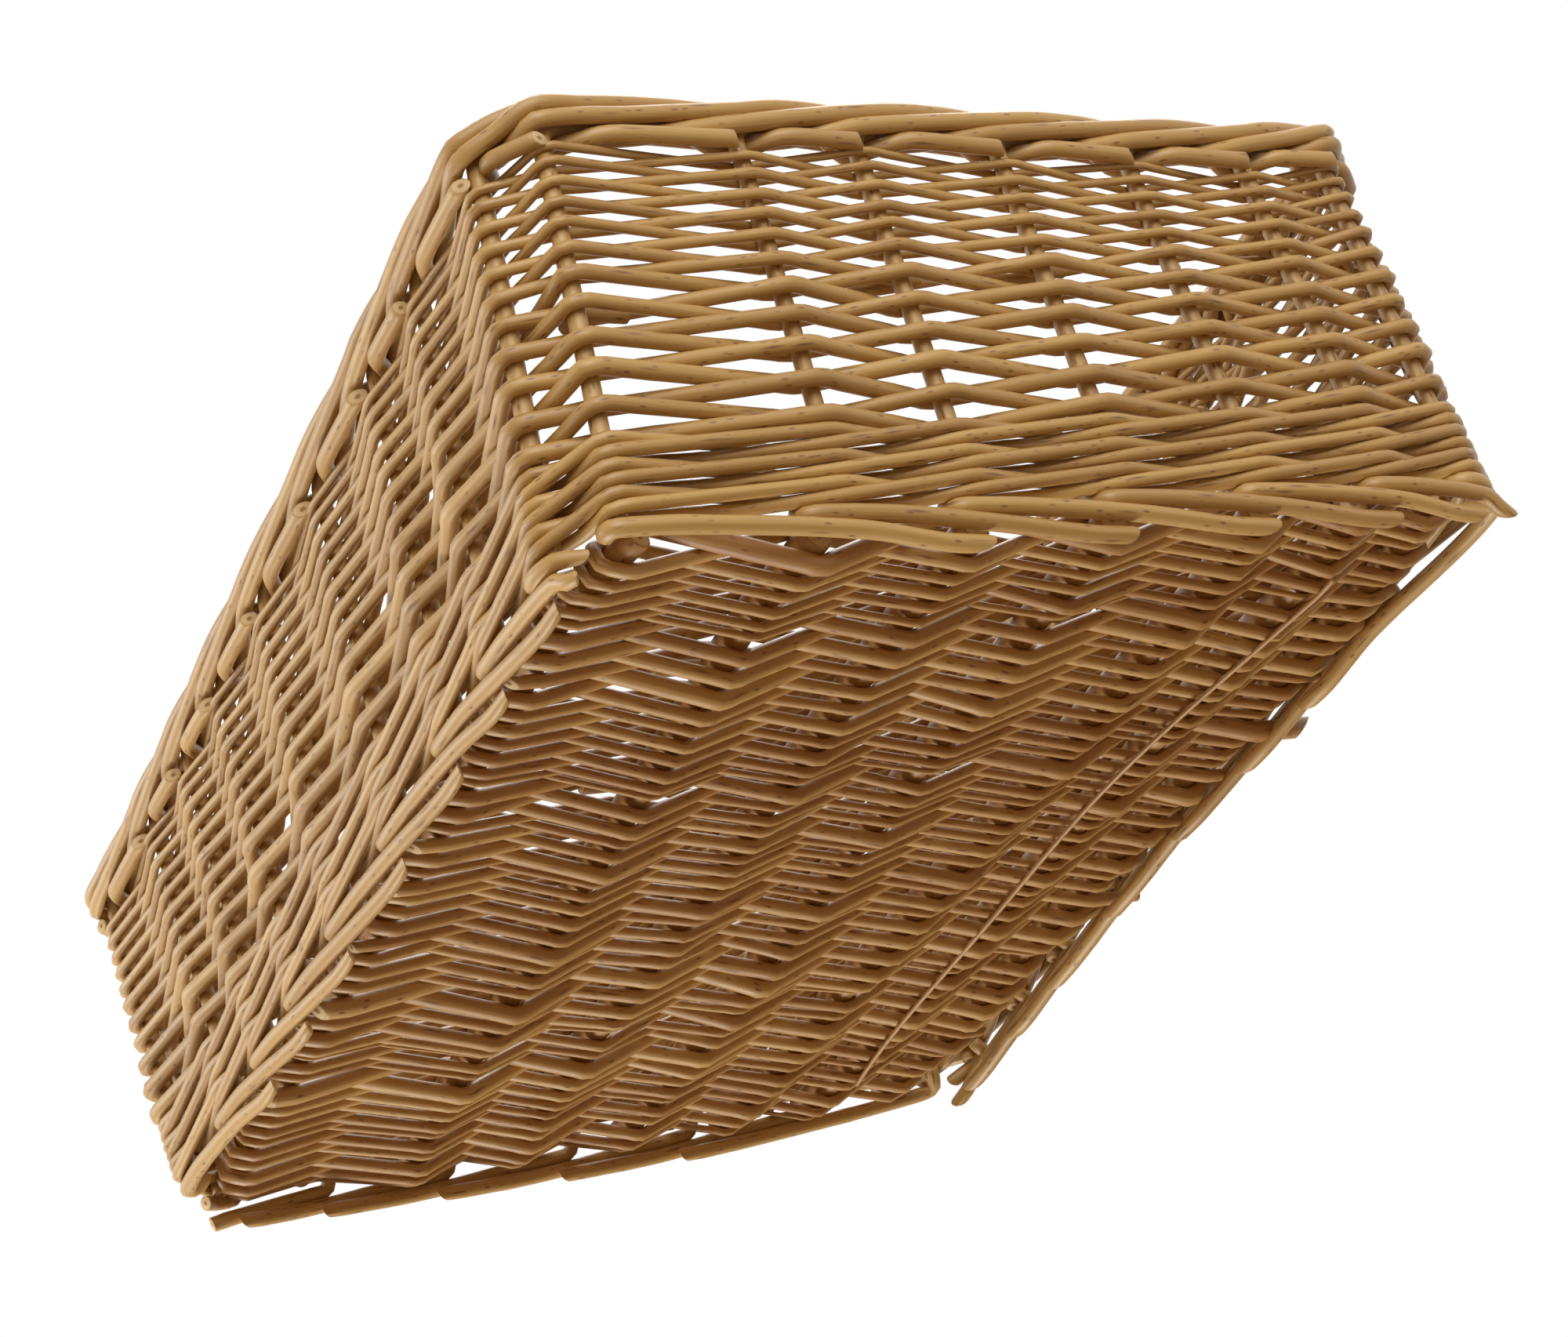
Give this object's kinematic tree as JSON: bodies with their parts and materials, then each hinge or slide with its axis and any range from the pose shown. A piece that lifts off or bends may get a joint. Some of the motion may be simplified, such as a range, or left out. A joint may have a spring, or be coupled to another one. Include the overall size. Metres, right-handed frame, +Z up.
{
  "type": "shelf basket",
  "caption": "Open rectangular shelf basket of woven willow rods, with a plaited rim border, randed sides above a wale, a kneed foot border and a flat woven base.",
  "frame": {"origin": "middle of the footprint, on the surface that the basket stands on", "axes": "+Z up through the open top, Y along the long sides, X along the short sides"},
  "size_m": [0.2998, 0.3996, 0.1335],
  "materials": {
    "stake_willow": "peeled willow, lightly varnished",
    "weaver_willow": "peeled willow, lightly varnished",
    "base_willow": "peeled willow, lightly varnished"
  },
  "bodies": {
    "root": {"stake_front_1": "stake_willow", "stake_front_2": "stake_willow", "stake_front_3": "stake_willow", "stake_front_4": "stake_willow", "stake_front_5": "stake_willow", "stake_front_6": "stake_willow", "stake_front_7": "stake_willow", "stake_right_1": "stake_willow", "stake_right_2": "stake_willow", "stake_right_3": "stake_willow", "stake_right_4": "stake_willow", "stake_right_5": "stake_willow", "stake_right_6": "stake_willow", "stake_right_7": "stake_willow", "stake_right_8": "stake_willow", "stake_right_9": "stake_willow", "stake_back_1": "stake_willow", "stake_back_2": "stake_willow", "stake_back_3": "stake_willow", "stake_back_4": "stake_willow", "stake_back_5": "stake_willow", "stake_back_6": "stake_willow", "stake_back_7": "stake_willow", "stake_left_1": "stake_willow", "stake_left_2": "stake_willow", "stake_left_3": "stake_willow", "stake_left_4": "stake_willow", "stake_left_5": "stake_willow", "stake_left_6": "stake_willow", "stake_left_7": "stake_willow", "stake_left_8": "stake_willow", "stake_left_9": "stake_willow", "wale_rod_1": "weaver_willow", "wale_rod_2": "weaver_willow", "wale_rod_3": "weaver_willow", "side_weaver_1": "weaver_willow", "side_weaver_2": "weaver_willow", "side_weaver_3": "weaver_willow", "side_weaver_4": "weaver_willow", "side_weaver_5": "weaver_willow", "side_weaver_6": "weaver_willow", "side_weaver_7": "weaver_willow", "side_weaver_8": "weaver_willow", "side_weaver_9": "weaver_willow", "side_weaver_10": "weaver_willow", "base_stick_1": "base_willow", "base_stick_2": "base_willow", "base_stick_3": "base_willow", "base_stick_4": "base_willow", "base_stick_5": "base_willow", "base_stick_6": "base_willow", "base_stick_7": "base_willow", "base_weaver_1": "base_willow", "base_weaver_2": "base_willow", "base_weaver_3": "base_willow", "base_weaver_4": "base_willow", "base_weaver_5": "base_willow", "base_weaver_6": "base_willow", "base_skein": "base_willow"}
  },
  "joints": []
}
